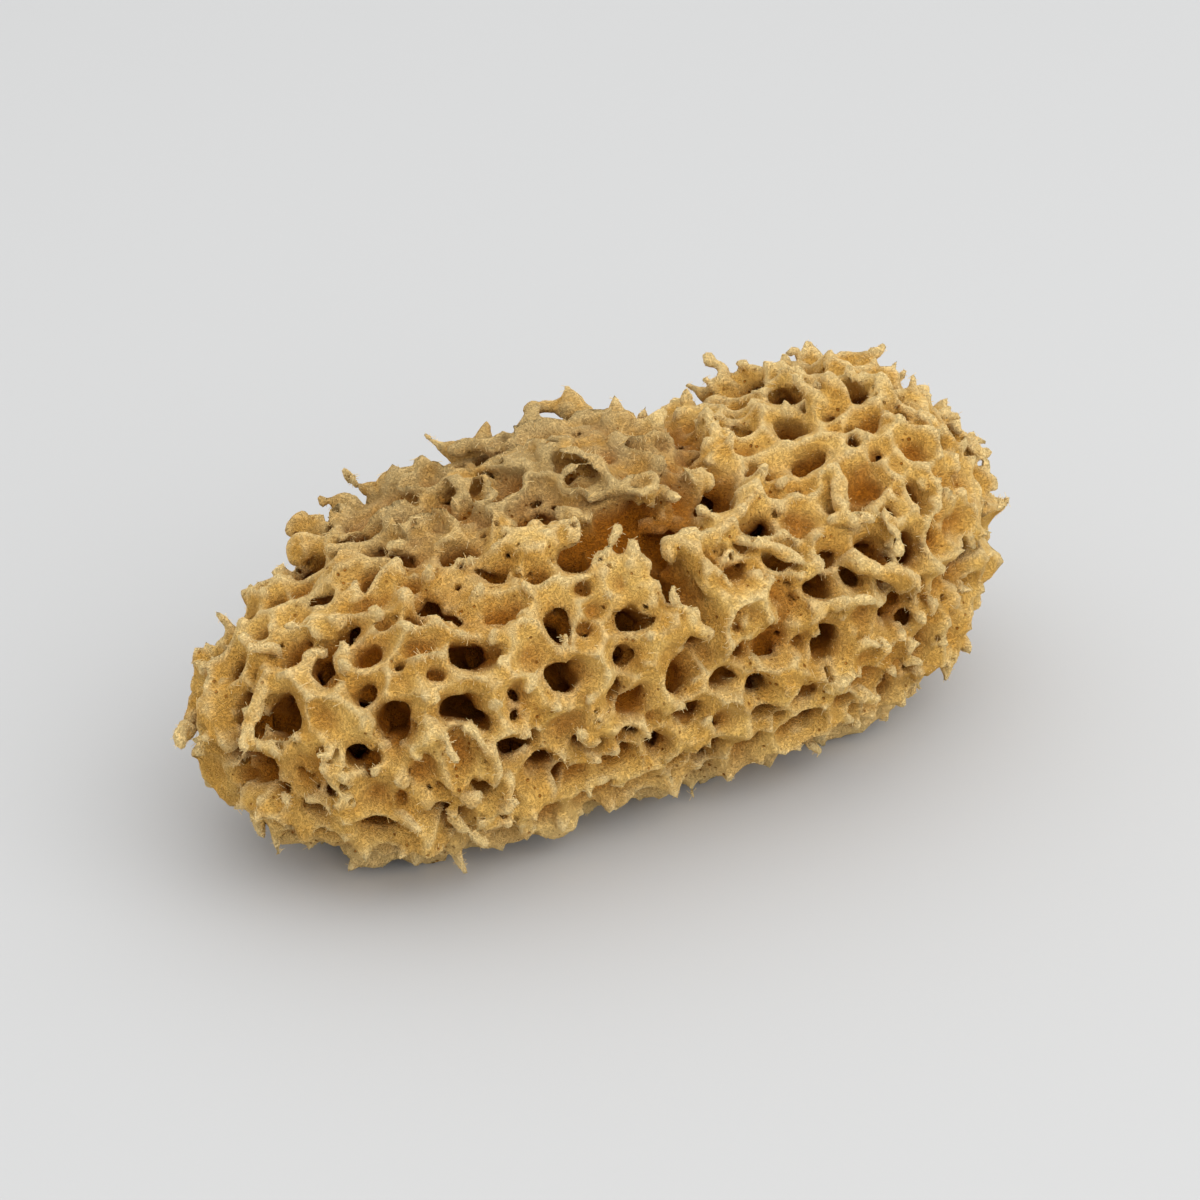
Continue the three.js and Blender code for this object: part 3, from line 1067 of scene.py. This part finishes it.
def one_fibre(tree, given):
    """A thinning sliver with three sides, about 1 long, that holds the way along itself."""
    ends = {"Start": (0, 0, -0.1), "End": (0.2, 0, 0.95)}
    line = tree.node("GeometryNodeCurvePrimitiveLine", None, ends)
    along = tree.node("GeometryNodeSplineParameter", out="Factor")
    line = tree.node("GeometryNodeSetCurveRadius", None, {"Curve": line, "Radius": 1 - along * 0.6})
    marked = store(tree, line, "along", along, "POINT")
    circle = {"Resolution": 3, "Radius": tree.maths("DIVIDE", given["Thickness"], given["Length"])}
    ring = tree.node("GeometryNodeCurvePrimitiveCircle", {"mode": "RADIUS"}, circle)
    values = {"Curve": marked, "Profile Curve": ring, "Fill Caps": True}
    return tree.node("GeometryNodeCurveToMesh", None, values)


def fibre_turn(tree, given, normal):
    """Upright on its face, then leaned over and rolled at random."""
    lean = given["Lean"]
    low = tree.node("ShaderNodeCombineXYZ", None, {0: lean * -1, 1: lean * -1, 2: 0.0})
    high = tree.node("ShaderNodeCombineXYZ", None, {0: lean, 1: lean, 2: math.tau})
    values = {0: low, 1: high, "Seed": given["Seed"] + 1}
    angles = tree.node("FunctionNodeRandomValue", {"data_type": "FLOAT_VECTOR"}, values)
    turned = tree.node("FunctionNodeEulerToRotation", None, {0: angles})
    upright = tree.node("FunctionNodeAlignRotationToVector", {"axis": "Z"}, {"Vector": normal})
    return tree.node("FunctionNodeRotateRotation", {"rotation_space": "LOCAL"}, {0: upright, 1: turned})


def fuzz_tree():
    inputs = {"Density": 1.0, "From": -1.0, "To": 1.0, "Length": 1.15 * MM, "Thickness": 0.03 * MM,
              "Lean": 1.0, "Seed": 1}
    tree, given = new_growth("loose_fibres", inputs)
    spots = fibre_spots(tree, given)
    size = given["Length"] * random(tree, 0.5, 1.5, given["Seed"] + 2)
    values = {"Points": spots, "Instance": one_fibre(tree, given),
              "Rotation": fibre_turn(tree, given, spots.other("Normal")), "Scale": size}
    placed = tree.node("GeometryNodeInstanceOnPoints", None, values)
    placed = store(tree, placed, "own_shade", random(tree, 0.02, 0.98, given["Seed"] + 3), "INSTANCE")
    real = tree.node("GeometryNodeRealizeInstances", None, {0: placed})
    on_map = tree.node("ShaderNodeCombineXYZ", None, {0: read(tree, "own_shade"), 1: read(tree, "along")})
    mapped = store(tree, real, "OFBake", on_map, "CORNER", "FLOAT2")
    done = tree.node("GeometryNodeSetMaterial", None, {"Geometry": mapped, "Material": fibre_finish})
    tree.tree.links.new(done.socket, tree.tree.nodes.new("NodeGroupOutput").inputs[0])
    return tree.tree


def set_input(modifier, name, value):
    """Sets a named input of the tree by the socket's identifier."""
    for item in modifier.node_group.interface.items_tree:
        if item.name == name and item.in_out == "INPUT":
            modifier[item.identifier] = value


def face_weights(mesh, values):
    """Each face's middle along the sponge in mm, and its area times the mean of its corners' values."""
    corners = np.empty(len(mesh.loops), np.int32)
    mesh.loops.foreach_get("vertex_index", corners)
    area = np.empty(len(mesh.polygons), np.float32)
    mesh.polygons.foreach_get("area", area)
    corners = corners.reshape(-1, 3)
    return mesh_points(mesh)[corners, 0].mean(1), area * values[corners].mean(1)


def grow_fuzz():
    """The meshes of fibres, cut across the sponge where each holds an equal share."""
    tree = fuzz_tree()
    middle, weight = face_weights(body.data, fuzz)
    order = np.argsort(middle)
    reached = np.cumsum(weight[order])
    shares = np.arange(1, FUZZ_PIECES) / FUZZ_PIECES
    cuts = [-LENGTH, *middle[order][np.searchsorted(reached, reached[-1] * shares)], LENGTH]
    density = FUZZ_PIECES * FIBRES_A_PIECE / reached[-1]
    pieces = []
    for n, (left, right) in enumerate(zip(cuts, cuts[1:])):
        piece = add_piece(f"loose_fibres_{n + 1}", body.data.copy())
        grow = piece.modifiers.new("grow", "NODES")
        grow.node_group = tree
        set_input(grow, "Density", float(density))
        set_input(grow, "From", float(left * MM))
        set_input(grow, "To", float(right * MM))
        set_input(grow, "Seed", 40 + n)
        apply_modifiers(piece)
        pieces.append(piece)
        triangles = len(piece.data.loops) - 2 * len(piece.data.polygons)
        print(f"{piece.name}: {triangles} triangles, map {piece.data.uv_layers[0].name}")
    return pieces


pieces = [body, *grow_fuzz()]
for piece in pieces:
    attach(piece, "root")
    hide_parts("sponge")
print(f"{len(pieces)} meshes stand in for the solid, {clock()}")

# %% [markdown]
# ## Floor, lights and background
# The sponge lies on pale, matt paper under two large soft lights: one overhead for the soft shadow,
# and one from the front and right that opens the holes. The world fills the rest.

# %% The set
def make_floor(size):
    """A square of matt paper, size metres wide."""
    mesh = bpy.data.meshes.new("floor")
    half = size / 2
    corners = [(-half, -half, 0), (half, -half, 0), (half, half, 0), (-half, half, 0)]
    mesh.from_pydata(corners, [], [(0, 1, 2, 3)])
    floor = add_piece("floor", mesh)
    material, shader, _ = new_material("pale_paper")
    shader.inputs["Base Color"].default_value = colour(193, 193, 192)
    shader.inputs["Roughness"].default_value = 0.95
    shader.inputs["Specular IOR Level"].default_value = 0.1
    mesh.materials.append(material)


def area_light(name, location, size, power):
    """A soft light of size metres that looks at the sponge from location."""
    data = bpy.data.lights.new(name, "AREA")
    data.shape = "RECTANGLE"
    data.size, data.size_y = size
    data.energy = power
    light = bpy.data.objects.new(name, data)
    light.location = location
    light.rotation_euler = (Vector(location) - Vector((0, 0, 0.03))).to_track_quat("Z", "Y").to_euler()
    bpy.context.scene.collection.objects.link(light)


make_floor(6.0)
area_light("overhead", (0.2, 0.1, 1.1), (2.4, 2.4), 6.6)
area_light("front", (0.25, -1.0, 0.9), (1.8, 1.2), 10.0)
world = bpy.data.worlds.new("world")
world.use_nodes = True
world.node_tree.nodes["Background"].inputs["Color"].default_value = (0.97, 0.98, 1, 1)
world.node_tree.nodes["Background"].inputs["Strength"].default_value = 0.95
bpy.context.scene.world = world
bpy.context.scene.view_settings.view_transform = "Standard"
print(f"set: floor, {len(bpy.data.lights)} lights and {world.name}")
